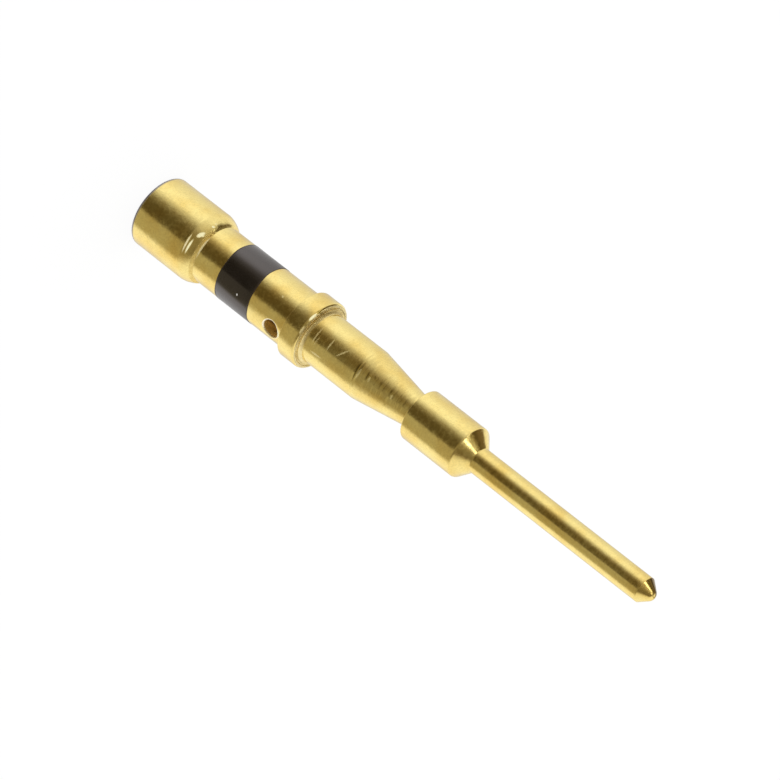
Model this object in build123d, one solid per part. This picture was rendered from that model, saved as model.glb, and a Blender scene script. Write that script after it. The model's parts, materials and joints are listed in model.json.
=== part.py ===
from build123d import *
import math
import os

# Crimp pin contact: one turned and gold plated copper alloy piece, with a painted colour band.
# Lengths are millimetres. Z is the turning axis: the funnel's mouth lies at Z = 0 and the pin
# points up. The inspection hole faces -Y.

# Lengths along the axis, in order from the mouth
funnel_length = 2.42
shoulder_length = 0.56
barrel_length = 4.63
collar_length = 0.81
body_length = 2.49
body_cone_length = 2.56
land_length = 2.40
pin_length = 7.96

# Outside diameters
funnel_diameter = 2.87
barrel_diameter = 2.32
collar_diameter = 2.73
body_diameter = 2.04
neck_diameter = 1.22
land_diameter = 2.04
pin_diameter = 1.00

# Angles to the axis, in degrees
shoulder_start_angle = 6
front_cone_angle = 46
tip_angle = 38

# Broken edges and root radii
mouth_edge_radius = 0.10
shoulder_root_radius = 0.05
collar_rear_radius = 0.08
collar_front_radius = 0.12
collar_root_radius = 0.04
body_root_radius = 0.15
neck_root_radius = 0.06
land_rear_radius = 0.14
land_front_radius = 0.20
pin_root_radius = 0.06
pin_shoulder_radius = 0.04
tip_point_radius = 0.28

# Bores, drilled from the mouth
funnel_bore_diameter = 2.30
funnel_bore_depth = 1.90
funnel_bore_lead_angle = 40
mouth_countersink = 0.06
wire_bore_diameter = 1.80
wire_bore_depth = 7.49
drill_point_angle = 59

# Inspection hole, drilled into the wire bore from one side
inspection_hole_diameter = 0.70
inspection_hole_to_collar = 0.60
inspection_hole_rim = 0.07

# Colour band, a ring of ink on the barrel
band_to_shoulder = 1.16
band_width = 1.65
band_thickness = 0.01


def radius_of(diameter):
    return diameter / 2


funnel_radius = radius_of(funnel_diameter)
barrel_radius = radius_of(barrel_diameter)
collar_radius = radius_of(collar_diameter)
body_radius = radius_of(body_diameter)
neck_radius = radius_of(neck_diameter)
land_radius = radius_of(land_diameter)
pin_radius = radius_of(pin_diameter)
funnel_bore_radius = radius_of(funnel_bore_diameter)
wire_bore_radius = radius_of(wire_bore_diameter)
inspection_hole_radius = radius_of(inspection_hole_diameter)

# Stations along the axis
shoulder_bottom = funnel_length
barrel_bottom = shoulder_bottom + shoulder_length
collar_bottom = barrel_bottom + barrel_length
body_bottom = collar_bottom + collar_length
body_cone_bottom = body_bottom + body_length
land_bottom = body_cone_bottom + body_cone_length
front_cone_bottom = land_bottom + land_length
front_cone_length = (land_radius - pin_radius) / math.tan(math.radians(front_cone_angle))
pin_bottom = front_cone_bottom + front_cone_length
pin_shoulder = pin_bottom + pin_length

# The tip is a cone that runs into a small ball
point_edge_radius = tip_point_radius * math.cos(math.radians(tip_angle))
point_edge_rise = tip_point_radius * math.sin(math.radians(tip_angle))
point_edge = pin_shoulder + (pin_radius - point_edge_radius) / math.tan(math.radians(tip_angle))
tip_top = point_edge + tip_point_radius - point_edge_rise

inspection_hole_height = collar_bottom - inspection_hole_to_collar
band_bottom = barrel_bottom + band_to_shoulder
band_top = band_bottom + band_width


def rounded(outline, corner, radius):
    """Rounds the outline's corner that lies nearest to a point given as (radius, height)."""
    nearest = outline.vertices().sort_by_distance(corner)[0]
    return fillet(nearest, radius)


def outside_outline():
    """Half section of the turned outside, with radius along X and height along Y."""
    lean = math.radians(shoulder_start_angle)
    edges = [
        Polyline((0, 0), (funnel_radius, 0), (funnel_radius, shoulder_bottom)),
        TangentArc(
            (funnel_radius, shoulder_bottom),
            (barrel_radius, barrel_bottom),
            tangent=(-math.sin(lean), math.cos(lean)),
        ),
        Polyline(
            (barrel_radius, barrel_bottom),
            (barrel_radius, collar_bottom),
            (collar_radius, collar_bottom),
            (collar_radius, body_bottom),
            (body_radius, body_bottom),
            (body_radius, body_cone_bottom),
            (neck_radius, land_bottom),
            (land_radius, land_bottom),
            (land_radius, front_cone_bottom),
            (pin_radius, pin_bottom),
            (pin_radius, pin_shoulder),
            (point_edge_radius, point_edge),
        ),
        TangentArc(
            (point_edge_radius, point_edge),
            (0, tip_top),
            tangent=(-math.sin(math.radians(tip_angle)), math.cos(math.radians(tip_angle))),
        ),
        Line((0, tip_top), (0, 0)),
    ]
    outline = make_face(edges)
    corners = [
        ((funnel_radius, 0), mouth_edge_radius),
        ((barrel_radius, barrel_bottom), shoulder_root_radius),
        ((barrel_radius, collar_bottom), collar_root_radius),
        ((collar_radius, collar_bottom), collar_rear_radius),
        ((collar_radius, body_bottom), collar_front_radius),
        ((body_radius, body_bottom), body_root_radius),
        ((neck_radius, land_bottom), neck_root_radius),
        ((land_radius, land_bottom), land_rear_radius),
        ((land_radius, front_cone_bottom), land_front_radius),
        ((pin_radius, pin_bottom), pin_root_radius),
        ((pin_radius, pin_shoulder), pin_shoulder_radius),
    ]
    for corner, radius in corners:
        outline = rounded(outline, corner, radius)
    return outline


def bore_outline():
    """Half section of the stepped bore: countersink, funnel bore, lead-in, wire bore and drill point."""
    lead_length = (funnel_bore_radius - wire_bore_radius) / math.tan(math.radians(funnel_bore_lead_angle))
    point_length = wire_bore_radius / math.tan(math.radians(drill_point_angle))
    return make_face(
        Polyline(
            (0, 0),
            (funnel_bore_radius + mouth_countersink, 0),
            (funnel_bore_radius, mouth_countersink),
            (funnel_bore_radius, funnel_bore_depth),
            (wire_bore_radius, funnel_bore_depth + lead_length),
            (wire_bore_radius, wire_bore_depth),
            (0, wire_bore_depth + point_length),
            close=True,
        )
    )


def turned(outline):
    """Turns a half section about the contact's axis."""
    return revolve(Plane.XZ * outline, Axis.Z)


def inspection_drill():
    """The hole's own cylinder, from the axis out through the barrel's -Y side."""
    drill = Cylinder(
        inspection_hole_radius,
        barrel_diameter,
        align=(Align.CENTER, Align.CENTER, Align.MIN),
    )
    return Pos(0, 0, inspection_hole_height) * Rot(90, 0, 0) * drill


def contact_body():
    """The one turned piece, bored from its mouth and cross drilled at the bottom of the wire bore."""
    blank = turned(outside_outline()) - turned(bore_outline())
    drilled = blank - inspection_drill()
    rim_edges = [
        edge
        for edge in drilled.edges()
        if edge.geom_type not in (GeomType.CIRCLE, GeomType.LINE)
        and edge.center().Y < -(barrel_radius + wire_bore_radius) / 2
    ]
    return chamfer(rim_edges, inspection_hole_rim)


def colour_band():
    """The ring of ink, whose inside is the barrel's own surface."""
    ring = Cylinder(
        barrel_radius + band_thickness,
        band_width,
        align=(Align.CENTER, Align.CENTER, Align.MIN),
    )
    core = Cylinder(
        barrel_radius,
        band_width,
        align=(Align.CENTER, Align.CENTER, Align.MIN),
    )
    return Pos(0, 0, band_bottom) * (ring - core)


os.makedirs("parts", exist_ok=True)
export_step(contact_body(), "parts/contact_body.step")
export_step(colour_band(), "parts/colour_band.step")

print("overall length", round(tip_top, 3))
print("wire bore", round(wire_bore_depth, 3), "pin", round(pin_bottom, 3), "to", round(pin_shoulder, 3))
print("land", round(land_bottom, 3), "to", round(front_cone_bottom, 3), "collar", round(collar_bottom, 3))
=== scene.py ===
import json
import math

import bpy
import numpy as np
from mathutils import Matrix, Vector


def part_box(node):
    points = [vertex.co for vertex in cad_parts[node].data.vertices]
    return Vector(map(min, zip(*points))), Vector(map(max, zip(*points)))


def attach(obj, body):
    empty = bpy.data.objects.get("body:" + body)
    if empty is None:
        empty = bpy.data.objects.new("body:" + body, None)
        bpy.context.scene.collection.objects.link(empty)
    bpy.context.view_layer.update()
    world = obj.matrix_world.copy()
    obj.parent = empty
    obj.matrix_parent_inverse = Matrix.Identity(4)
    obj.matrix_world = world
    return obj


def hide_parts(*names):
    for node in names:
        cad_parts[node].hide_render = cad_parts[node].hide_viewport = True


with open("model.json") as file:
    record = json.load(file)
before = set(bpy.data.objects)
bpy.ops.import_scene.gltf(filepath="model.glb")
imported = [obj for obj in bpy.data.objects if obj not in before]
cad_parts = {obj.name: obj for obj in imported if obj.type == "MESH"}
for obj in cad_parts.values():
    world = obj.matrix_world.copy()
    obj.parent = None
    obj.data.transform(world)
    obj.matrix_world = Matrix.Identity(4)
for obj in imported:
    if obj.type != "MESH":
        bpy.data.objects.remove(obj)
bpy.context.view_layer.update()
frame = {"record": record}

# Units: the scene is in metres, and the sizes below are in millimetres
MM = 0.001

# Sizes read from the frame
mounts = {mount["name"]: mount for mount in frame["record"]["mounts"]}
body_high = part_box("contact_body")[1]
band_low, band_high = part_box("colour_band")


def mount_radius(name):
    return mounts[name]["dims"]["r_mm"]


def mount_ends(name):
    """Lowest and highest station of a round mount along the axis, in millimetres."""
    middle = mounts[name]["pos_m"][2] / MM
    half = mounts[name]["dims"]["length_mm"] / 2
    return middle - half, middle + half


def face_height(name):
    return mounts[name]["pos_m"][2] / MM


tip_top = body_high.z / MM
funnel_radius = body_high.x / MM
pin_radius = mount_radius("contact_pin")
land_radius = mount_radius("front_land")
wire_bore_radius = mount_radius("wire_bore")
funnel_bore_radius = mount_radius("funnel_bore")
collar_bottom = face_height("collar_rear_face")
body_bottom = face_height("collar_front_face")
band_bottom = band_low.z / MM
band_top = band_high.z / MM
band_radius = band_high.x / MM
lead_bottom = mount_ends("funnel_bore")[1]
lead_top, wire_bore_top = mount_ends("wire_bore")

# Turned outside, as in the part's source
funnel_length = 2.42
shoulder_length = 0.56
body_length = 2.49
body_cone_length = 2.56
land_length = 2.40
barrel_radius = 1.16
collar_radius = 1.365
body_radius = 1.02
neck_radius = 0.61
shoulder_start_lean = 6
front_cone_angle = 46
tip_angle = 38
tip_point_radius = 0.28
mouth_countersink = 0.06
drill_point_angle = 59

# The shoulder's knee, past which it falls more steeply than in the part's source
shoulder_knee_radius = 1.268
shoulder_knee = 2.886

# Broken edges and root radii. The collar's rear edge and the land's two are sharper than in the
# part's source, and the cone's start and the bore's edges are rounded in the scene alone
mouth_edge = 0.10
shoulder_root = 0.05
collar_root = 0.04
body_root = 0.15
collar_rear_edge = 0.03
collar_front_edge = 0.12
neck_root = 0.06
land_rear_edge = 0.05
land_front_edge = 0.10
pin_root = 0.06
pin_shoulder_edge = 0.04
cone_start = 0.30
bore_edge = 0.03

# Hair-fine turning grooves: one before the shoulder, one before the body's cone, and one in the
# collar's front face
groove_width = 0.05
groove_depth = 0.004
groove_to_shoulder = 0.03
groove_to_cone = 0.055
face_groove_outer = 1.232
face_groove_middle = 1.210
face_groove_inner = 1.188
face_groove_depth = 0.012

# Inspection hole and its rounded rim. The cutter's flare passes the barrel's skin by the overlap, its
# mouth lies the reach outside that skin, and its end stays short of the axis
hole_radius = 0.35
hole_rim = 0.065
hole_rim_angle = 70
hole_to_collar = 0.60
cutter_overlap = 0.03
cutter_reach = 0.1
cutter_end = 0.25

# The band's two edges stand a little across the barrel: how far each climbs towards the side
BAND_LOW_SKEW = 0.02
BAND_HIGH_SKEW = 0.055

# How far the edges wander on their way round, as waves of (height, count, start)
BAND_WAVES = [(0.012, 3, 0.7), (0.008, 7, 2.1)]

# Softness of the band's edges, and how far the ring reaches into the barrel
BAND_EDGE = 0.008
BAND_SEAT = 0.002

# Stations along the axis
shoulder_bottom = funnel_length
barrel_bottom = shoulder_bottom + shoulder_length
cone_bottom = body_bottom + body_length
land_bottom = cone_bottom + body_cone_length
front_cone_bottom = land_bottom + land_length
pin_bottom = front_cone_bottom + (land_radius - pin_radius) / math.tan(math.radians(front_cone_angle))

# Mesh fineness
LATHE_SEGMENTS = 192
HOLE_SEGMENTS = 96
BAND_SEGMENTS = 160
ARC_STEPS = 7
SHOULDER_STEPS = 24
KNEE_STEPS = 12
SHORTEST_STEP = 0.005

# Faces that meet at more than these angles, in degrees, keep a sharp edge between them
CONTACT_SHARP_ANGLE = 28
BAND_SHARP_ANGLE = 60

# The photograph's view: tilt of the axis towards the camera, its slope down to the right in the
# picture, and the turn of the inspection hole from the near side, in degrees. Then the camera's focal
# length, the picture and the sensor, and the place on the axis at which the camera aims
VIEW_TILT = 27.388
PICTURE_SLOPE = 38.0
HOLE_TURN = 51.0
FOCAL_PIXELS = 5000.0
PICTURE_WIDTH = 780
SENSOR_WIDTH = 36.0
PIXELS_PER_MM = 28.42
AIM_HEIGHT = 11.913
AIM_SIDE_PIXELS = 0.92


def unit_vectors():
    """Near, sideways and axis directions of the contact as the photograph sees it."""
    near_angle = math.radians(-90 - HOLE_TURN)
    near = Vector((math.cos(near_angle), math.sin(near_angle), 0))
    axis = Vector((0, 0, 1))
    return near, axis.cross(near), axis


NEAR, SIDE, AXIS = unit_vectors()


def along(direction_angle):
    """A direction given by its angle to the axis: (radius step, height step)."""
    angle = math.radians(direction_angle)
    return -math.sin(angle), math.cos(angle)


def arc_points(centre, start, end, steps):
    """Points of an arc round its centre, between two ends that are given from that centre."""
    turn = math.atan2(start[0] * end[1] - start[1] * end[0], start @ end)
    points = []
    for step in range(steps + 1):
        angle = turn * step / steps
        cosine = math.cos(angle)
        sine = math.sin(angle)
        x = start[0] * cosine - start[1] * sine
        y = start[0] * sine + start[1] * cosine
        points.append((centre[0] + x, centre[1] + y))
    return points


def rounded_corner(before, corner, after, radius):
    """Points of the arc that rounds one corner of an outline."""
    here = np.array(corner, float)
    back = np.array(before, float) - here
    ahead = np.array(after, float) - here
    back /= np.linalg.norm(back)
    ahead /= np.linalg.norm(ahead)
    half_angle = math.acos(np.clip(back @ ahead, -1, 1)) / 2
    reach = radius / math.tan(half_angle)
    middle = back + ahead
    middle /= np.linalg.norm(middle)
    centre = here + middle * radius / math.sin(half_angle)
    start = here + back * reach - centre
    end = here + ahead * reach - centre
    return arc_points(centre, start, end, ARC_STEPS)


def leaning_arc(start, end, lean, steps):
    """Arc from start to end that leaves start at an angle to the axis."""
    tangent = np.array(along(lean))
    normal = np.array((-tangent[1], tangent[0]))
    chord = np.array(end) - np.array(start)
    radius = (chord @ chord) / (2 * (chord @ normal))
    centre = np.array(start) + normal * radius
    return arc_points(centre, np.array(start) - centre, np.array(end) - centre, steps)


def lean_between(start, end):
    """Angle to the axis of a step along the outside, in degrees."""
    return math.degrees(math.atan2(start[0] - end[0], end[1] - start[1]))


def rounded_path(corners):
    """Outline points from (radius, height, rounding) corners. A rounding of 0 keeps the corner."""
    points = []
    for index, (r, z, rounding) in enumerate(corners):
        if rounding == 0:
            points.append((r, z))
            continue
        before = corners[index - 1][:2]
        after = corners[index + 1][:2]
        points.extend(rounded_corner(before, (r, z), after, rounding))
    return points


def tip_points():
    """The ball at the end of the tip, from its meeting with the cone to the axis."""
    start = math.radians(tip_angle)
    centre = tip_top - tip_point_radius
    points = []
    for step in range(ARC_STEPS + 1):
        angle = start + (math.pi / 2 - start) * step / ARC_STEPS
        points.append((tip_point_radius * math.cos(angle), centre + tip_point_radius * math.sin(angle)))
    points[-1] = (0.0, tip_top)
    return points


def groove(radius, height):
    """A shallow turning groove in a straight run of the outside."""
    return [
        (radius, height - groove_width / 2, 0),
        (radius - groove_depth, height, 0),
        (radius, height + groove_width / 2, 0),
    ]


def shoulder_path():
    """The shoulder with its knee, and the root in which it meets the barrel."""
    knee = (shoulder_knee_radius, shoulder_knee)
    root = (barrel_radius, barrel_bottom)
    upper = leaning_arc((funnel_radius, shoulder_bottom), knee, shoulder_start_lean, SHOULDER_STEPS)
    lower = leaning_arc(knee, root, lean_between(upper[-2], upper[-1]), KNEE_STEPS)
    slope = upper + lower[1:]
    into_barrel = rounded_corner(slope[-2], root, (barrel_radius, collar_bottom), shoulder_root)
    slope_end = into_barrel[0][1] - SHORTEST_STEP
    return [point for point in slope if point[1] < slope_end] + into_barrel


def outside_path():
    """The turned outside from the mouth's inner edge to the tip."""
    ball = tip_points()
    edge_radius, edge_height = ball[0]
    pin_shoulder = edge_height - (pin_radius - edge_radius) / math.tan(math.radians(tip_angle))
    funnel = rounded_path([
        (funnel_bore_radius + mouth_countersink, 0, 0),
        (funnel_radius, 0, mouth_edge),
        *groove(funnel_radius, shoulder_bottom - groove_to_shoulder),
        (funnel_radius, shoulder_bottom, 0),
    ])
    barrel_to_tip = rounded_path([
        (barrel_radius, band_bottom, 0),
        (barrel_radius, collar_bottom, collar_root),
        (collar_radius, collar_bottom, collar_rear_edge),
        (collar_radius, body_bottom, collar_front_edge),
        (face_groove_outer, body_bottom, 0),
        (face_groove_middle, body_bottom - face_groove_depth, 0),
        (face_groove_inner, body_bottom, 0),
        (body_radius, body_bottom, body_root),
        *groove(body_radius, cone_bottom - groove_to_cone),
        (body_radius, cone_bottom, cone_start),
        (neck_radius, land_bottom, neck_root),
        (land_radius, land_bottom, land_rear_edge),
        (land_radius, front_cone_bottom, land_front_edge),
        (pin_radius, pin_bottom, pin_root),
        (pin_radius, pin_shoulder, pin_shoulder_edge),
        (edge_radius, edge_height, 0),
    ])
    return funnel + shoulder_path()[1:] + barrel_to_tip[:-1] + ball


def bore_path():
    """The stepped bore from the drill point on the axis out to the mouth's inner edge."""
    point_height = wire_bore_top + wire_bore_radius / math.tan(math.radians(drill_point_angle))
    walls = rounded_path([
        (wire_bore_radius, wire_bore_top, 0),
        (wire_bore_radius, lead_top, bore_edge),
        (funnel_bore_radius, lead_bottom, bore_edge),
        (funnel_bore_radius, mouth_countersink, 0),
    ])
    return [(0.0, point_height)] + walls


def new_piece(name, vertices, faces):
    """A mesh object in the scene, from its vertices and faces."""
    mesh = bpy.data.meshes.new(name)
    mesh.from_pydata(vertices, [], faces)
    mesh.validate()
    mesh.update()
    piece = bpy.data.objects.new(name, mesh)
    bpy.context.scene.collection.objects.link(piece)
    return piece


def lathe(name, path, segments):
    """A closed turned mesh in millimetres. The path starts and ends on the axis."""
    ring_points = path[1:-1]
    vertices = [(0, 0, path[0][1])]
    for radius, height in ring_points:
        for index in range(segments):
            angle = 2 * math.pi * index / segments
            vertices.append((radius * math.cos(angle), radius * math.sin(angle), height))
    vertices.append((0, 0, path[-1][1]))
    faces = []
    last = len(vertices) - 1
    for index in range(segments):
        following = (index + 1) % segments
        faces.append((0, 1 + following, 1 + index))
        for ring in range(len(ring_points) - 1):
            low = 1 + ring * segments
            high = low + segments
            faces.append((low + index, low + following, high + following, high + index))
        top = 1 + (len(ring_points) - 1) * segments
        faces.append((top + index, top + following, last))
    return new_piece(name, vertices, faces)


def hole_cutter(height):
    """A drill with a flared collar that leaves a rounded rim where it enters the barrel."""
    flare_end = math.radians(hole_rim_angle)
    rise = cutter_overlap + hole_rim * (1 - math.sin(flare_end))
    flare_radius = hole_radius + hole_rim * (1 - math.cos(flare_end))
    rings = [(flare_radius + rise * math.tan(flare_end), -cutter_overlap)]
    for step in range(ARC_STEPS + 1):
        angle = flare_end * (1 - step / ARC_STEPS)
        radius = hole_radius + hole_rim * (1 - math.cos(angle))
        rings.append((radius, hole_rim * (1 - math.sin(angle))))
    circle = []
    for index in range(HOLE_SEGMENTS):
        angle = 2 * math.pi * index / HOLE_SEGMENTS
        circle.append((math.cos(angle), math.sin(angle)))
    mouth_radius = rings[0][0]
    start = -barrel_radius - cutter_reach
    vertices = [(mouth_radius * x, start, height + mouth_radius * z) for x, z in circle]
    for radius, depth in rings:
        for x, z in circle:
            surface = -math.sqrt(barrel_radius ** 2 - (radius * x) ** 2)
            vertices.append((radius * x, surface + depth, height + radius * z))
    vertices += [(hole_radius * x, -cutter_end, height + hole_radius * z) for x, z in circle]
    ring_count = len(rings) + 2
    faces = []
    for ring in range(ring_count - 1):
        for index in range(HOLE_SEGMENTS):
            following = (index + 1) % HOLE_SEGMENTS
            low = ring * HOLE_SEGMENTS
            high = low + HOLE_SEGMENTS
            faces.append((low + index, high + index, high + following, low + following))
    top = (ring_count - 1) * HOLE_SEGMENTS
    faces.append(tuple(range(HOLE_SEGMENTS)))
    faces.append(tuple(range(top, top + HOLE_SEGMENTS))[::-1])
    return new_piece("hole_cutter", vertices, faces)


def cut(piece, cutter):
    """Takes the cutter's shape out of the piece's mesh, and removes the cutter."""
    modifier = piece.modifiers.new("cut", "BOOLEAN")
    modifier.operation = "DIFFERENCE"
    modifier.solver = "MANIFOLD"
    modifier.object = cutter
    bpy.context.view_layer.update()
    graph = bpy.context.evaluated_depsgraph_get()
    made = bpy.data.meshes.new_from_object(piece.evaluated_get(graph))
    piece.modifiers.remove(modifier)
    old = piece.data
    piece.data = made
    bpy.data.meshes.remove(old)
    bpy.data.objects.remove(cutter)


def to_metres(piece):
    piece.data.transform(Matrix.Scale(MM, 4))
    piece.data.update()


def smooth(piece, angle):
    """Smooth shading with sharp edges where faces meet at more than the angle, in degrees."""
    mesh = piece.data
    mesh.polygons.foreach_set("use_smooth", [True] * len(mesh.polygons))
    mesh.set_sharp_from_angle(angle=math.radians(angle))
    mesh.update()


# How far a disc's soft edge reaches to each side of its half width, and how a stroke fades: its spread
# in widths, and the share of it that shows fully
DISC_INSIDE = 0.6
DISC_OUTSIDE = 1.4
STROKE_SPREAD = 0.75
STROKE_CORE = 0.2


class Nodes:
    """Short calls for building one node tree."""

    def __init__(self, tree):
        self.tree = tree
        tree.nodes.clear()

    def add(self, kind, **settings):
        node = self.tree.nodes.new(kind)
        for name, value in settings.items():
            setattr(node, name, value)
        return node

    def link(self, source, target):
        self.tree.links.new(source, target)

    def feed(self, socket, value):
        if isinstance(value, bpy.types.NodeSocket):
            self.link(value, socket)
        else:
            socket.default_value = value

    def maths(self, operation, *values):
        node = self.add("ShaderNodeMath", operation=operation)
        for socket, value in zip(node.inputs, values):
            self.feed(socket, value)
        return node.outputs[0]

    def chain(self, operation, values):
        """One operation on two values, then on its result and the next value, to the last."""
        result = values[0]
        for value in values[1:]:
            result = self.maths(operation, result, value)
        return result

    def plus(self, *values):
        return self.chain("ADD", values)

    def minus(self, *values):
        return self.chain("SUBTRACT", values)

    def times(self, *values):
        return self.chain("MULTIPLY", values)

    def largest(self, *values):
        return self.chain("MAXIMUM", values)

    def vector(self, operation, first, second=None, output="Vector"):
        node = self.add("ShaderNodeVectorMath", operation=operation)
        self.feed(node.inputs[0], first)
        if second is not None:
            self.feed(node.inputs[1], second)
        return node.outputs[output]

    def dot(self, vector, direction):
        return self.vector("DOT_PRODUCT", vector, direction, "Value")

    def scaled(self, vector, scale):
        return self.vector("MULTIPLY", vector, scale)

    def joined(self, x, y, z=0.0):
        """A vector from its three parts."""
        node = self.add("ShaderNodeCombineXYZ")
        for socket, part in zip(node.inputs, (x, y, z)):
            self.feed(socket, part)
        return node.outputs[0]

    def span(self, value, low, high, to_low=0.0, to_high=1.0):
        """Goes smoothly from to_low to to_high while a value goes from low to high."""
        node = self.add("ShaderNodeMapRange", interpolation_type="SMOOTHSTEP")
        self.feed(node.inputs["Value"], value)
        node.inputs["From Min"].default_value = low
        node.inputs["From Max"].default_value = high
        node.inputs["To Min"].default_value = to_low
        node.inputs["To Max"].default_value = to_high
        return node.outputs["Result"]

    def rise(self, length, low, high, to_low=0.0, to_high=1.0):
        """The same for a length in metres between two given in millimetres."""
        return self.span(length, low * MM, high * MM, to_low, to_high)

    def fall(self, length, low, high):
        """1 up to the lower length, and 0 from the higher one, both in millimetres."""
        return self.rise(length, low, high, 1.0, 0.0)

    def zone(self, length, ends):
        """1 inside a zone given by where it starts, shows fully, starts to fade and is gone."""
        start, full, fading, gone = ends
        return self.times(self.rise(length, start, full), self.fall(length, fading, gone))

    def noise(self, vector, scale, detail, roughness):
        node = self.add("ShaderNodeTexNoise")
        self.feed(node.inputs["Vector"], vector)
        node.inputs["Scale"].default_value = scale
        node.inputs["Detail"].default_value = detail
        node.inputs["Roughness"].default_value = roughness
        return node.outputs["Fac"]

    def disc(self, direction, centre, half_width):
        """1 inside a soft-edged disc of directions, half_width degrees to each side of its centre."""
        outside = math.cos(math.radians(half_width * DISC_OUTSIDE))
        inside = math.cos(math.radians(half_width * DISC_INSIDE))
        return self.span(self.dot(direction, centre), outside, inside)

    def stroke(self, place, start, end, width):
        """1 on a tapered stroke between two places given in millimetres, 0 away from it."""
        start = Vector((start[0], start[1], 0)) * MM
        end = Vector((end[0], end[1], 0)) * MM
        ahead = (end - start).normalized()
        half_length = (end - start).length / 2 + width * MM / 2
        half_width = width * MM * STROKE_SPREAD
        offset = self.vector("SUBTRACT", place, (start + end) / 2)
        run = self.dot(offset, ahead / half_length)
        across = self.dot(offset, Vector((-ahead.y, ahead.x, 0)) / half_width)
        squares = self.plus(self.times(run, run), self.times(across, across))
        return self.span(squares, STROKE_CORE, 1.0, 1.0, 0.0)

    def strokes(self, place, marks):
        """The strongest of several strokes, each given as (start, end, width, strength)."""
        shown = [self.times(self.stroke(place, *mark[:3]), mark[3]) for mark in marks]
        return self.largest(0.0, *shown)

    def mix_colour(self, share, first, second, blend="MIX"):
        node = self.add("ShaderNodeMix", data_type="RGBA", blend_type=blend)
        self.feed(node.inputs["Factor"], share)
        self.feed(node.inputs["A"], first)
        self.feed(node.inputs["B"], second)
        return node.outputs["Result"]

    def layered(self, colour, layers):
        """A colour with others laid over it in order, each given as (share, colour)."""
        for share, layer in layers:
            colour = self.mix_colour(share, colour, layer)
        return colour

    def mix_shader(self, share, first, second):
        node = self.add("ShaderNodeMixShader")
        self.feed(node.inputs[0], share)
        self.link(first, node.inputs[1])
        self.link(second, node.inputs[2])
        return node.outputs[0]

    def ramp(self, value, stops):
        node = self.add("ShaderNodeValToRGB")
        node.color_ramp.interpolation = "LINEAR"
        elements = node.color_ramp.elements
        while len(elements) < len(stops):
            elements.new(0.5)
        for element, (position, colour) in zip(elements, stops):
            element.position = position
            element.color = colour
        self.feed(node.inputs["Fac"], value)
        return node.outputs["Color"]

    def bump(self, height, distance):
        node = self.add("ShaderNodeBump")
        self.feed(node.inputs["Height"], height)
        node.inputs["Distance"].default_value = distance
        node.inputs["Strength"].default_value = 1.0
        return node.outputs["Normal"]


def new_material(name):
    material = bpy.data.materials.new(name)
    material.use_nodes = True
    nodes = Nodes(material.node_tree)
    shader = nodes.add("ShaderNodeBsdfPrincipled")
    output = nodes.add("ShaderNodeOutputMaterial")
    nodes.link(shader.outputs[0], output.inputs["Surface"])
    return material, nodes, shader


WHITE = (1.0, 1.0, 1.0, 1.0)
PALE_GREY = (0.9, 0.9, 0.9, 1.0)

# Gold plating
GOLD = (0.955, 0.775, 0.295, 1.0)
GOLD_DEEP = (0.88, 0.64, 0.19, 1.0)

# Inside of the wire bore and of the hole's wall, dull from the drill, and painted shade on the bore's
# far side beyond the hole
BORE_GOLD = (0.60, 0.34, 0.06, 1.0)
BORE_PAINTED_SHADE = (0.14, 0.06, 0.01, 1.0)

# The collar's turned front face, and painted shade in the corner where it meets the body, on its upper
# side
FACE_GOLD = (0.95, 0.83, 0.48, 1.0)
ROOT_PAINTED_SHADE = (0.72, 0.57, 0.24, 1.0)

# Painted shade: grey on the mouth's broken edge, and brown on one side of the pointed tip
MOUTH_PAINTED_SHADE = (0.25, 0.23, 0.25, 1.0)
TIP_PAINTED_SHADE = (0.17, 0.115, 0.055, 1.0)

# Painted highlight on the hole's broken edge
RIM_PAINTED_HIGHLIGHT = (1.0, 0.90, 0.66, 1.0)

# Rubbed metal of the fine marks with their painted highlight, the colour of the painted glints, and the
# painted shade of the scores
RUBBED_AND_HIGHLIGHT = (0.90, 0.79, 0.48, 1.0)
PAINTED_GLINT_COLOUR = (1.0, 0.93, 0.56, 1.0)
SCORE_PAINTED_SHADE = (0.36, 0.26, 0.05, 1.0)

# Fine marks left on the near side by the tool and by handling, painted bright as their highlights, in
# millimetres: where each one starts and ends, as (distance aside, height), its width, and how strongly
# it shows
MARKS = [
    ((-0.35, 8.81), (0.39, 8.81), 0.055, 0.32),
    ((-0.02, 8.95), (0.41, 8.92), 0.045, 0.20),
    ((-0.26, 9.48), (0.26, 9.47), 0.055, 0.32),
    ((-0.28, 10.23), (0.23, 9.90), 0.055, 0.32),
    ((0.61, 8.86), (0.59, 9.41), 0.050, 0.40),
    ((0.03, 8.371), (0.39, 8.366), 0.055, 0.45),
    ((-0.11, 2.490), (0.70, 2.525), 0.060, 0.80),
    ((-0.42, 2.995), (0.58, 3.018), 0.060, 0.60),
    ((-0.02, 11.03), (0.42, 11.03), 0.080, 0.22),
    ((0.04, 11.47), (0.22, 11.49), 0.070, 0.20),
    ((0.06, 12.51), (0.20, 12.515), 0.070, 0.22),
]

# Painted shade in the grooves that the tool scored where the body starts to narrow, and a painted dark
# reflection at the end of the glint on the collar's front edge, given in the same way
SCORES = [
    ((-0.17, 10.89), (0.50, 10.945), 0.060, 0.85),
    ((-0.11, 11.33), (0.22, 11.39), 0.060, 0.60),
    ((-0.10, 11.60), (0.00, 11.66), 0.060, 0.50),
    ((-0.08, 11.90), (0.06, 11.93), 0.060, 0.45),
    ((-0.08, 12.38), (0.02, 12.40), 0.060, 0.50),
    ((-0.71, 8.386), (-0.60, 8.380), 0.070, 0.85),
]
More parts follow.
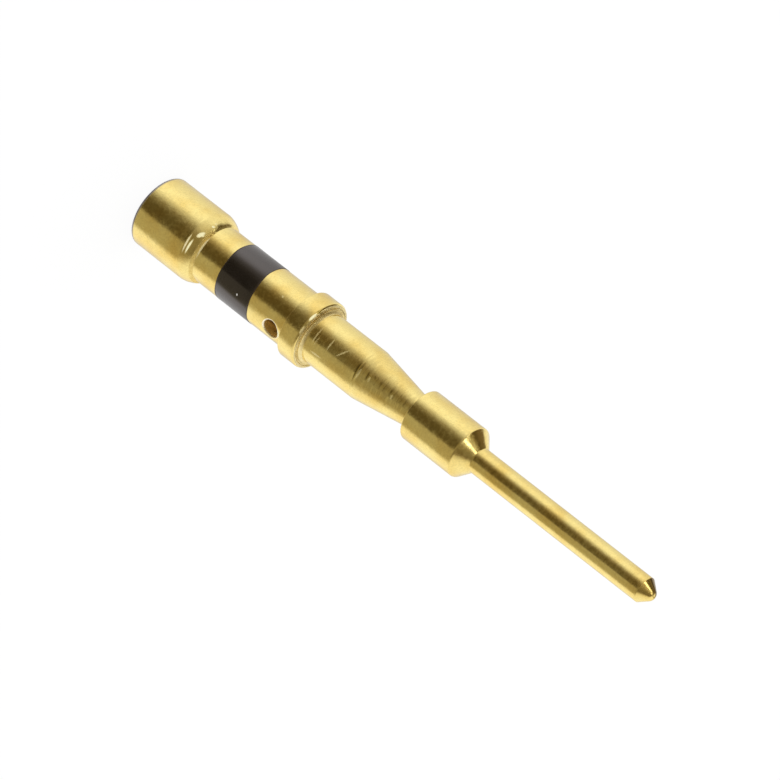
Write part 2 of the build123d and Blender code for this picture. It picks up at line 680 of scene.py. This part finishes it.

# Painted glints: bright spots and lines that stand in for glints, given in the same way
PAINTED_GLINTS = [
    ((0.02, 2.645), (0.66, 2.635), 0.065, 0.95),
    ((-0.11, 2.69), (-0.37, 2.79), 0.120, 0.95),
    ((-0.22, 2.74), (-0.27, 2.83), 0.090, 0.80),
    ((-0.90, 2.765), (-0.86, 2.785), 0.060, 0.30),
    ((-0.755, 2.80), (-0.725, 2.815), 0.070, 0.85),
    ((-0.33, 6.80), (-0.27, 6.85), 0.050, 0.40),
    ((0.755, 7.38), (0.963, 7.47), 0.070, 0.90),
    ((-0.57, 8.378), (-0.19, 8.366), 0.066, 0.95),
]

# Zones along the axis, in millimetres: where each one starts, shows fully, starts to fade and is gone
CONE_ZONE = (
    cone_bottom + 0.05,
    cone_bottom + 0.15,
    land_bottom - 0.4,
    land_bottom - 0.2,
)
STEP_ZONE = (
    body_bottom - 0.03,
    body_bottom - 0.01,
    body_bottom + 0.08,
    body_bottom + 0.15,
)
SHOULDER_ROOT_ZONE = (
    barrel_bottom - 0.11,
    barrel_bottom - 0.08,
    barrel_bottom + 0.01,
    barrel_bottom + 0.03,
)

# The hole's rim, given in the same way by the distance from the hole's middle
RIM_ZONE = (
    hole_radius - 0.02,
    hole_radius,
    hole_radius + hole_rim * 0.6,
    hole_radius + hole_rim * 1.1,
)

# Single borders between two finishes, in millimetres: where the change starts and where it is complete
NEAR_SIDE_EDGE = (0.0, 0.3)
FACE_EDGE = (body_bottom - 0.02, body_bottom - 0.005)
FACE_INNER_EDGE = (1.12, 1.18)
FACE_ROOT_EDGE = (body_radius + 0.08, body_radius + 0.14)
ROOT_SHADE_SIDE = (-0.2, 0.3)
TIP_POLISH_EDGE = (tip_top - 0.55, tip_top - 0.45)
TIP_SHADE_EDGE = (tip_top - 0.50, tip_top - 0.46)
MOUTH_SHADE_EDGE = (0.07, 0.16)
BORE_SKIN_EDGE = (barrel_radius - hole_rim - 0.01, barrel_radius - hole_rim + 0.01)
BORE_TOP_EDGE = (8.05, 8.15)
BORE_SHADE_SIDE = (0.62, 0.75)
BORE_SHADE_START = (5.6, 6.0)
RIM_FADE = (0.93, 1.02)
CRESCENT_END = (-0.69, -0.59)

# The tip's painted shade goes by the distance aside as a share of the radius
TIP_SHADE_SIDE = (-0.92, -0.80)

# How much of some colours shows, and what the rim's painted highlight keeps past the fade
TIP_SHADE_SHARE = 0.9
FACE_SHARE = 0.6
RIM_FAR_SHARE = 0.4

# Noise in the plating, as (scale, detail, roughness)
FINE_RINGS = (24000.0, 4.0, 0.6)
BROAD_RINGS = (5000.0, 2.0, 0.5)
CONE_RINGS = (6500.0, 1.5, 0.5)
FACE_RINGS = (8000.0, 1.5, 0.5)
FINE_FACE_RINGS = (50000.0, 1.0, 0.5)
MOTTLE = (8000.0, 3.0, 0.6)
SPECKLE = (13000.0, 2.0, 0.6)
PATCHES = (900.0, 2.0, 0.5)

# Depth of each kind of ring and of the mottle, as shares of the grain, and the grain's own height
FINE_RING_DEPTH = 0.7
BROAD_RING_DEPTH = 0.6
CONE_RING_DEPTH = 5.0
FACE_RING_DEPTH = 6.0
FINE_FACE_RING_DEPTH = 18.0
MOTTLE_DEPTH = 1.2
GRAIN_HEIGHT = 0.0000025

# How fast the rings change on their way round the contact
RING_DRIFT = 0.03

# From noise to looks: the values between which the noise works, and what it gives at each
PATCH_SPAN = (0.35, 0.75)
SPECKLE_SHADE = (0.3, 0.7, 0.96, 1.06)
MOTTLE_ROUGHNESS = (-0.2, 0.2, 0.10, 0.27)

# Roughness that some zones add to the plating's own
SHOULDER_ROOT_ROUGHNESS = 0.40
BORE_ROUGHNESS = 0.4
STEP_ROUGHNESS = 0.2
FACE_ROOT_ROUGHNESS = 0.1

# Share of the metal's mirror that some zones lose
BORE_DULL = 0.8
RIM_DULL = 0.5
MOUTH_DULL = 0.5


class Places:
    """Where a point of the contact lies: aside, ahead, along the axis and out from it."""

    def __init__(self, nodes):
        self.position = nodes.add("ShaderNodeTexCoord").outputs["Object"]
        self.aside = nodes.dot(self.position, SIDE)
        self.ahead = nodes.dot(self.position, NEAR)
        self.height = nodes.dot(self.position, AXIS)
        out_from_axis = nodes.scaled(self.position, (1.0, 1.0, 0.0))
        self.radius = nodes.vector("LENGTH", out_from_axis, output="Value")


def near_side_marks(nodes, place, marks):
    """1 on the marks of the side that the photograph sees, 0 elsewhere."""
    drawn = nodes.strokes(nodes.joined(place.aside, place.height), marks)
    return nodes.times(drawn, nodes.rise(place.ahead, *NEAR_SIDE_EDGE))


def hole_rim_highlight(nodes, place):
    """1 where the highlight is painted on the inspection hole's rim, weaker on its far part, 0
    elsewhere.
    """
    hole_middle = (0, 0, (collar_bottom - hole_to_collar) * MM)
    beside_hole = nodes.scaled(place.position, (1.0, 0.0, 1.0))
    from_hole = nodes.vector("DISTANCE", beside_hole, hole_middle, "Value")
    on_front = nodes.rise(nodes.dot(place.position, (0, -1, 0)), *NEAR_SIDE_EDGE)
    fade = nodes.rise(place.aside, *RIM_FADE, 1.0, RIM_FAR_SHARE)
    return nodes.times(nodes.zone(from_hole, RIM_ZONE), on_front, fade)


class GoldZones:
    """How far a point lies in each zone of the plating that has a finish, painted shade or painted
    highlight of its own, from 0 to 1.
    """

    def __init__(self, nodes, place):
        self.on_cone = nodes.zone(place.height, CONE_ZONE)
        self.on_step = nodes.zone(place.height, STEP_ZONE)
        self.in_shoulder_root = nodes.zone(place.height, SHOULDER_ROOT_ZONE)
        self.on_face = nodes.times(
            nodes.rise(place.height, *FACE_EDGE),
            nodes.rise(place.radius, *FACE_INNER_EDGE),
        )
        self.in_root = nodes.times(self.on_step, nodes.fall(place.radius, *FACE_ROOT_EDGE))
        # Painted shade in the corner at the body's root, on its upper side
        self.painted_root_shade = nodes.times(self.in_root, nodes.fall(place.aside, *ROOT_SHADE_SIDE))
        self.before_tip = nodes.fall(place.height, *TIP_POLISH_EDGE)
        # Painted shade on one side of the pointed tip
        share_aside = nodes.maths("DIVIDE", place.aside, place.radius)
        self.painted_tip_shade = nodes.times(
            nodes.rise(place.height, *TIP_SHADE_EDGE),
            nodes.span(share_aside, *TIP_SHADE_SIDE, TIP_SHADE_SHARE, 0.0),
        )
        # Painted shade on the mouth's broken edge
        self.painted_mouth_shade = nodes.fall(place.height, *MOUTH_SHADE_EDGE)
        self.drilled = nodes.times(
            nodes.fall(place.radius, *BORE_SKIN_EDGE),
            nodes.fall(place.height, *BORE_TOP_EDGE),
        )
        # Painted shade on the bore's far side, beyond the inspection hole
        self.painted_bore_shade = nodes.times(
            self.drilled,
            nodes.fall(place.aside, *BORE_SHADE_SIDE),
            nodes.rise(place.height, *BORE_SHADE_START),
        )
        # Painted highlight on the hole's rim
        self.painted_rim_highlight = hole_rim_highlight(nodes, place)
        # Fine marks, painted bright as their highlights
        self.marks_and_highlight = near_side_marks(nodes, place, MARKS)
        # Painted glints, bright spots and lines
        self.painted_glint = near_side_marks(nodes, place, PAINTED_GLINTS)
        # Painted shade in the scored grooves, and a painted dark reflection on the collar's edge
        self.painted_score_shade = near_side_marks(nodes, place, SCORES)


def plating_grain(nodes, place, zones, mottle):
    """Height of the fine rings that turning leaves round the axis, and of the plating's mottle."""
    turned = nodes.joined(
        nodes.plus(nodes.times(place.aside, RING_DRIFT), place.radius),
        nodes.times(place.ahead, RING_DRIFT),
        place.height,
    )
    cone_rings = nodes.times(nodes.noise(turned, *CONE_RINGS), CONE_RING_DEPTH)
    face_rings = nodes.plus(
        nodes.times(nodes.noise(turned, *FACE_RINGS), FACE_RING_DEPTH),
        nodes.times(nodes.noise(turned, *FINE_FACE_RINGS), FINE_FACE_RING_DEPTH),
    )
    grain = nodes.plus(
        nodes.times(nodes.noise(turned, *FINE_RINGS), FINE_RING_DEPTH),
        nodes.times(mottle, MOTTLE_DEPTH),
        nodes.times(nodes.noise(turned, *BROAD_RINGS), BROAD_RING_DEPTH),
        nodes.times(zones.on_cone, cone_rings),
        nodes.times(zones.on_face, face_rings),
    )
    return nodes.times(grain, zones.before_tip)


def plating_colour(nodes, place, zones):
    """Gold in slow patches and fine speckles, with the colours of its marks and bore, and its painted
    shade, highlights and glints.
    """
    patches = nodes.noise(place.position, *PATCHES)
    speckle = nodes.noise(place.position, *SPECKLE)
    gold = nodes.mix_colour(nodes.span(patches, *PATCH_SPAN), GOLD, GOLD_DEEP)
    gold = nodes.mix_colour(1.0, gold, nodes.span(speckle, *SPECKLE_SHADE), "MULTIPLY")
    return nodes.layered(gold, [
        (nodes.times(zones.on_step, FACE_SHARE), FACE_GOLD),
        (zones.painted_root_shade, ROOT_PAINTED_SHADE),
        (zones.painted_mouth_shade, MOUTH_PAINTED_SHADE),
        (zones.painted_tip_shade, TIP_PAINTED_SHADE),
        (zones.painted_rim_highlight, RIM_PAINTED_HIGHLIGHT),
        (zones.painted_score_shade, SCORE_PAINTED_SHADE),
        (zones.marks_and_highlight, RUBBED_AND_HIGHLIGHT),
        (zones.painted_glint, PAINTED_GLINT_COLOUR),
        (zones.drilled, BORE_GOLD),
        (zones.painted_bore_shade, BORE_PAINTED_SHADE),
    ])


def plating_roughness(nodes, place, zones, mottle):
    """Roughness that follows the mottle, smooth at the tip and rougher in some zones."""
    past_crescent = nodes.rise(place.aside, *CRESCENT_END, 0.0, SHOULDER_ROOT_ROUGHNESS)
    uneven = nodes.times(nodes.minus(mottle, 0.5), zones.before_tip)
    return nodes.plus(
        nodes.span(uneven, *MOTTLE_ROUGHNESS),
        nodes.times(zones.in_shoulder_root, past_crescent),
        nodes.times(zones.drilled, BORE_ROUGHNESS),
        nodes.times(zones.on_step, STEP_ROUGHNESS),
        nodes.times(zones.in_root, FACE_ROOT_ROUGHNESS),
    )


def gold_material():
    """Gold over fine turning marks that run round the axis, with a slight mottle in the plating."""
    material, nodes, shader = new_material("gold_plating")
    place = Places(nodes)
    zones = GoldZones(nodes, place)
    mottle = nodes.noise(place.position, *MOTTLE)
    dull = nodes.largest(
        zones.marks_and_highlight,
        zones.painted_glint,
        nodes.times(zones.drilled, BORE_DULL),
        nodes.times(zones.painted_rim_highlight, RIM_DULL),
        nodes.times(zones.painted_mouth_shade, MOUTH_DULL),
    )
    grain = plating_grain(nodes, place, zones, mottle)
    nodes.feed(shader.inputs["Base Color"], plating_colour(nodes, place, zones))
    nodes.feed(shader.inputs["Roughness"], plating_roughness(nodes, place, zones, mottle))
    nodes.feed(shader.inputs["Metallic"], nodes.minus(1.0, dull))
    nodes.feed(shader.inputs["Normal"], nodes.bump(grain, GRAIN_HEIGHT))
    return material


# Ink of the band, thin and brown along its edges, and a small pale grey spot on it
INK = (0.0055, 0.0045, 0.0035, 1.0)
INK_WORN = (0.012, 0.0095, 0.008, 1.0)
INK_EDGE = (0.022, 0.010, 0.004, 1.0)
INK_EDGE_WIDTH = 0.09
INK_EDGE_WANDER = 0.06
INK_EDGE_ROUGHNESS = 0.5
INK_SPOT = [((0.63, 5.21), (0.67, 5.23), 0.05, 1.0)]
INK_SPOT_COLOUR = (0.62, 0.60, 0.56, 1.0)

# Unevenness of the ink, as (scale, detail, roughness), its height, and the roughness that it gives
INK_NOISE = (2600.0, 3.0, 0.55)
INK_GRAIN_HEIGHT = 0.000003
INK_ROUGHNESS = (0.3, 0.7, 0.09, 0.16)

# The ink's sheen, painted duller between these two borders on the near side
INK_SHEEN = (1.0, 0.90, 0.86, 1.0)
INK_SHEEN_PAINTED_DULL = (0.55, 0.47, 0.40, 1.0)
INK_DULL_SHEEN_START = (-0.66, -0.36)
INK_DULL_SHEEN_END = (0.62, 0.88)
INK_IOR = 1.6


def ink_edge_share(nodes, place, soft):
    """1 at the band's two edges, 0 in its middle."""
    low_line = nodes.times(place.aside, BAND_LOW_SKEW / barrel_radius)
    high_line = nodes.times(place.aside, BAND_HIGH_SKEW / barrel_radius)
    above_low = nodes.minus(place.height, low_line, band_bottom * MM)
    below_high = nodes.minus(nodes.plus(high_line, band_top * MM), place.height)
    ragged = nodes.times(nodes.minus(soft, 0.5), INK_EDGE_WANDER * MM)
    inside = nodes.plus(nodes.maths("MINIMUM", above_low, below_high), ragged)
    return nodes.fall(inside, 0.0, INK_EDGE_WIDTH)


def ink_material():
    """Glossy black ink, thin and brown along its two edges, with one small pale spot, and its sheen
    painted duller on the near side.
    """
    material, nodes, shader = new_material("band_ink")
    place = Places(nodes)
    soft = nodes.noise(place.position, *INK_NOISE)
    edge = ink_edge_share(nodes, place, soft)
    colour = nodes.layered(INK, [
        (soft, INK_WORN),
        (edge, INK_EDGE),
        (near_side_marks(nodes, place, INK_SPOT), INK_SPOT_COLOUR),
    ])
    roughness = nodes.plus(nodes.span(soft, *INK_ROUGHNESS), nodes.times(edge, INK_EDGE_ROUGHNESS))
    # Sheen painted duller on the near side, between two borders
    glossy = nodes.largest(
        nodes.fall(place.aside, *INK_DULL_SHEEN_START),
        nodes.rise(place.aside, *INK_DULL_SHEEN_END),
    )
    nodes.feed(shader.inputs["Base Color"], colour)
    nodes.feed(shader.inputs["Roughness"], roughness)
    nodes.feed(shader.inputs["Normal"], nodes.bump(soft, INK_GRAIN_HEIGHT))
    nodes.feed(shader.inputs["Specular Tint"], nodes.mix_colour(glossy, INK_SHEEN_PAINTED_DULL, INK_SHEEN))
    shader.inputs["IOR"].default_value = INK_IOR
    shader.inputs["Specular IOR Level"].default_value = 1.0
    return material


# How white the floor looks to the camera: the rest of it shows the object's shadow
FLOOR_WHITE_SHARE = 0.93


def floor_material():
    """Pale floor with the object's shadow on it, white to the camera and left out of reflections."""
    material = bpy.data.materials.new("floor")
    material.use_nodes = True
    nodes = Nodes(material.node_tree)
    path = nodes.add("ShaderNodeLightPath")
    lit = nodes.add("ShaderNodeBsdfDiffuse")
    lit.inputs["Color"].default_value = PALE_GREY
    white = nodes.add("ShaderNodeEmission")
    white.inputs["Color"].default_value = WHITE
    clear = nodes.add("ShaderNodeBsdfTransparent")
    seen = nodes.mix_shader(FLOOR_WHITE_SHARE, lit.outputs[0], white.outputs[0])
    by_camera = nodes.mix_shader(path.outputs["Is Camera Ray"], lit.outputs[0], seen)
    by_gloss = nodes.mix_shader(path.outputs["Is Glossy Ray"], by_camera, clear.outputs[0])
    output = nodes.add("ShaderNodeOutputMaterial")
    nodes.link(by_gloss, output.inputs["Surface"])
    return material


# Studio seen in the metal, by its angle round the axis from the photograph's near side, in degrees:
# a broad white card on one side, a dark gap in front, a grey card and the white sweep beyond
STUDIO_LOW = [
    (-180, (0.60, 0.58, 0.57)),
    (-96, (0.92, 0.92, 0.92)),
    (-76, (1.07, 1.07, 1.07)),
    (-54, (1.05, 1.05, 1.05)),
    (-40, (0.60, 0.58, 0.54)),
    (-26, (0.23, 0.20, 0.14)),
    (-10, (0.10, 0.078, 0.038)),
    (15, (0.09, 0.07, 0.034)),
    (25, (0.11, 0.088, 0.046)),
    (31, (0.42, 0.385, 0.28)),
    (79, (0.42, 0.375, 0.25)),
    (92, (1.03, 1.01, 0.98)),
    (125, (1.08, 1.08, 1.08)),
    (180, (0.60, 0.58, 0.57)),
]

# The same at the height of the contact, where the gap is paler and wider
STUDIO_LEVEL = [
    (-180, (0.80, 0.78, 0.73)),
    (-168, (0.88, 0.86, 0.82)),
    (-156, (0.98, 0.97, 0.96)),
    (-110, (0.88, 0.87, 0.86)),
    (-72, (0.97, 0.97, 0.97)),
    (-38, (0.64, 0.61, 0.55)),
    (-14, (0.24, 0.20, 0.14)),
    (0, (0.21, 0.17, 0.09)),
    (18, (0.28, 0.25, 0.17)),
    (44, (0.28, 0.25, 0.17)),
    (62, (0.34, 0.29, 0.18)),
    (88, (0.95, 0.94, 0.92)),
    (120, (1.02, 1.02, 1.03)),
    (146, (1.00, 0.99, 0.99)),
    (162, (0.88, 0.86, 0.82)),
    (180, (0.80, 0.78, 0.73)),
]

# Above, a dark ceiling that opens to the white sweep, with a narrow dark gap straight behind
STUDIO_HIGH = [
    (-180, (0.08, 0.06, 0.035)),
    (-173, (0.62, 0.58, 0.50)),
    (-164, (0.95, 0.93, 0.88)),
    (-150, (0.95, 0.95, 0.95)),
    (-140, (0.85, 0.83, 0.80)),
    (-131, (0.40, 0.36, 0.30)),
    (-112, (0.14, 0.11, 0.06)),
    (-98, (0.14, 0.11, 0.065)),
    (-86, (0.26, 0.22, 0.14)),
    (-72, (0.33, 0.29, 0.18)),
    (-56, (0.42, 0.39, 0.30)),
    (-36, (0.44, 0.40, 0.31)),
    (-20, (0.34, 0.30, 0.22)),
    (0, (0.22, 0.19, 0.12)),
    (44, (0.15, 0.12, 0.07)),
    (54, (0.22, 0.18, 0.11)),
    (64, (0.60, 0.56, 0.47)),
    (78, (0.90, 0.88, 0.83)),
    (96, (0.98, 0.97, 0.95)),
    (120, (1.00, 1.00, 1.00)),
    (148, (1.00, 1.00, 1.00)),
    (164, (0.95, 0.93, 0.88)),
    (173, (0.62, 0.58, 0.50)),
    (180, (0.08, 0.06, 0.035)),
]

# Small bright lamps on the card's side, seen as glints on cones and rounded edges, each by its turn,
# its height above level, half its width and its brightness
LAMPS = [
    (-45, 61, 5.3, 3.2),
    (-60, 42, 5.8, 3.2),
]

# Dark spots of the studio, each by its turn, its height above level, half its width and its colour:
# under the table's far edge, two halves of a black flag above the card, and straight below the mouth
SHADES = [
    (180, -54, 18, (0.34, 0.32, 0.33)),
    (-94, 30, 16, (0.095, 0.07, 0.03)),
    (-119, 24, 16, (0.15, 0.115, 0.07)),
    (180, -90, 20, (0.30, 0.28, 0.29)),
]

# Heights at which one band of the studio has faded into the next, in degrees above level
LOW_TO_LEVEL = (-24, -11)
LEVEL_TO_HIGH = (2, 46)


def studio_direction(turn, elevation):
    """A direction from the contact, by its turn from the near side and its height above level."""
    turn = math.radians(turn)
    elevation = math.radians(elevation)
    level = NEAR * math.cos(turn) + SIDE * math.sin(turn)
    return level * math.cos(elevation) + AXIS * math.sin(elevation)


def sine(angle):
    return math.sin(math.radians(angle))


def studio_bands(nodes, direction):
    """The studio's three bands, faded into one another by height."""
    turn = nodes.maths("ARCTAN2", nodes.dot(direction, SIDE), nodes.dot(direction, NEAR))
    share = nodes.maths("MULTIPLY_ADD", turn, 1 / (2 * math.pi), 0.5)
    bands = []
    for stops in (STUDIO_LOW, STUDIO_LEVEL, STUDIO_HIGH):
        placed = [((angle + 180) / 360, (*colour, 1.0)) for angle, colour in stops]
        bands.append(nodes.ramp(share, placed))
    low, level, high = bands
    up = nodes.dot(direction, AXIS)
    studio = nodes.mix_colour(nodes.span(up, *map(sine, LOW_TO_LEVEL)), low, level)
    return nodes.mix_colour(nodes.span(up, *map(sine, LEVEL_TO_HIGH)), studio, high)


def studio_world():
    """The studio in reflections, plain white to the camera, and pale grey as the light on the floor."""
    world = bpy.data.worlds.new("studio")
    world.use_nodes = True
    bpy.context.scene.world = world
    nodes = Nodes(world.node_tree)
    direction = nodes.add("ShaderNodeTexCoord").outputs["Generated"]
    studio = studio_bands(nodes, direction)
    for turn, elevation, half_width, shade in SHADES:
        spot = nodes.disc(direction, studio_direction(turn, elevation), half_width)
        studio = nodes.mix_colour(spot, studio, (*shade, 1.0))
    for turn, elevation, half_width, brightness in LAMPS:
        spot = nodes.disc(direction, studio_direction(turn, elevation), half_width)
        studio = nodes.mix_colour(spot, studio, (brightness, brightness, brightness, 1.0))
    path = nodes.add("ShaderNodeLightPath")
    colour = nodes.mix_colour(path.outputs["Is Glossy Ray"], PALE_GREY, studio)
    colour = nodes.layered(colour, [
        (path.outputs["Is Camera Ray"], WHITE),
        (path.outputs["Is Transmission Ray"], WHITE),
    ])
    background = nodes.add("ShaderNodeBackground")
    nodes.feed(background.inputs["Color"], colour)
    output = nodes.add("ShaderNodeOutputWorld")
    nodes.link(background.outputs[0], output.inputs["Surface"])


def make_contact():
    """The turned contact with its bore and its inspection hole."""
    piece = lathe("contact", bore_path() + outside_path(), LATHE_SEGMENTS)
    cut(piece, hole_cutter(collar_bottom - hole_to_collar))
    to_metres(piece)
    smooth(piece, CONTACT_SHARP_ANGLE)
    piece.data.materials.clear()
    piece.data.materials.append(gold_material())
    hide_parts("contact_body")
    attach(piece, "root")


def make_band():
    """The ring of ink, with soft edges that wander slightly round the barrel."""
    inner = barrel_radius - BAND_SEAT
    edge = band_radius - BAND_EDGE
    shoulder = band_radius - BAND_EDGE * 0.3
    section = [
        (inner, band_bottom, BAND_LOW_SKEW),
        (edge, band_bottom + BAND_SEAT, BAND_LOW_SKEW),
        (shoulder, band_bottom + BAND_EDGE * 0.7, BAND_LOW_SKEW),
        (band_radius, band_bottom + BAND_EDGE * 2, BAND_LOW_SKEW),
        (band_radius, band_top - BAND_EDGE * 2, BAND_HIGH_SKEW),
        (shoulder, band_top - BAND_EDGE * 0.7, BAND_HIGH_SKEW),
        (edge, band_top - BAND_SEAT, BAND_HIGH_SKEW),
        (inner, band_top, BAND_HIGH_SKEW),
    ]
    near_angle = math.atan2(NEAR.y, NEAR.x)
    vertices = []
    for radius, height, skew in section:
        for index in range(BAND_SEGMENTS):
            angle = 2 * math.pi * index / BAND_SEGMENTS
            turn = angle - near_angle
            wander = sum(wave * math.sin(count * turn + start) for wave, count, start in BAND_WAVES)
            lift = skew * math.sin(turn) + wander
            vertices.append((radius * math.cos(angle), radius * math.sin(angle), height + lift))
    faces = []
    rings = len(section)
    for ring in range(rings):
        low = ring * BAND_SEGMENTS
        high = ((ring + 1) % rings) * BAND_SEGMENTS
        for index in range(BAND_SEGMENTS):
            following = (index + 1) % BAND_SEGMENTS
            faces.append((low + index, low + following, high + following, high + index))
    piece = new_piece("ink_ring", vertices, faces)
    to_metres(piece)
    smooth(piece, BAND_SHARP_ANGLE)
    piece.data.materials.append(ink_material())
    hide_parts("colour_band")
    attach(piece, "root")


# Floor and lamps, in metres and watts
FLOOR_HALF_WIDTH = 1.5
SOFT_LAMP_PLACE = (0.03, 0.05, 0.16)
SOFT_LAMP_AIM = (0, 0, 0.01)
SOFT_LAMP_SIZE = 0.12
SOFT_LAMP_WATTS = 0.12
BORE_LAMP_DEPTH = 1.2 * MM
BORE_LAMP_RADIUS = 0.2 * MM
BORE_LAMP_WATTS = 0.0000125


def make_floor():
    half = FLOOR_HALF_WIDTH
    corners = [(-half, -half, 0), (half, -half, 0), (half, half, 0), (-half, half, 0)]
    floor = new_piece("floor", corners, [(0, 1, 2, 3)])
    floor.data.materials.append(floor_material())


def new_lamp(name, kind, watts, place):
    """A lamp in the scene that reflections leave out."""
    data = bpy.data.lights.new(name, kind)
    data.energy = watts
    lamp = bpy.data.objects.new(name, data)
    lamp.location = place
    lamp.visible_glossy = False
    bpy.context.scene.collection.objects.link(lamp)
    return lamp


def make_lamp():
    """One large soft lamp overhead, for the shadow on the floor."""
    lamp = new_lamp("soft_lamp", "AREA", SOFT_LAMP_WATTS, SOFT_LAMP_PLACE)
    lamp.data.shape = "DISK"
    lamp.data.size = SOFT_LAMP_SIZE
    aim = Vector(SOFT_LAMP_AIM) - lamp.location
    lamp.rotation_mode = "QUATERNION"
    lamp.rotation_quaternion = aim.to_track_quat("-Z", "Y")


def make_bore_lamp():
    """The light that a wire bore gets by its open mouth, as a small lamp beside the inspection hole."""
    height = (collar_bottom - hole_to_collar) * MM - BORE_LAMP_DEPTH
    lamp = new_lamp("bore_lamp", "POINT", BORE_LAMP_WATTS, (0, 0, height))
    lamp.data.shadow_soft_size = BORE_LAMP_RADIUS
    lamp.visible_camera = False


# What the camera sees, from how near to how far, in metres
CAMERA_RANGE = (0.01, 10)


def make_camera():
    """The photograph's camera, turned about its own axis so that the contact runs down to the right."""
    tilt = math.radians(VIEW_TILT)
    slope = math.radians(PICTURE_SLOPE)
    right = (
        NEAR * (-math.sin(tilt) * math.cos(slope))
        - SIDE * math.sin(slope)
        + AXIS * (math.cos(tilt) * math.cos(slope))
    )
    up = (
        NEAR * (math.sin(tilt) * math.sin(slope))
        - SIDE * math.cos(slope)
        - AXIS * (math.cos(tilt) * math.sin(slope))
    )
    back = NEAR * math.cos(tilt) + AXIS * math.sin(tilt)
    distance = FOCAL_PIXELS / PIXELS_PER_MM * MM
    aim = AXIS * (AIM_HEIGHT * MM) - SIDE * (AIM_SIDE_PIXELS / PIXELS_PER_MM * MM)
    data = bpy.data.cameras.new("camera")
    data.sensor_width = SENSOR_WIDTH
    data.lens = FOCAL_PIXELS / PICTURE_WIDTH * SENSOR_WIDTH
    data.clip_start, data.clip_end = CAMERA_RANGE
    camera = bpy.data.objects.new("camera", data)
    place = Matrix((right, up, back)).transposed().to_4x4()
    place.translation = aim + back * distance
    camera.matrix_world = place
    bpy.context.scene.collection.objects.link(camera)
    bpy.context.scene.camera = camera


make_camera()
studio_world()
make_lamp()
make_bore_lamp()
make_floor()
make_contact()
make_band()

bpy.context.scene.view_settings.view_transform = "Standard"
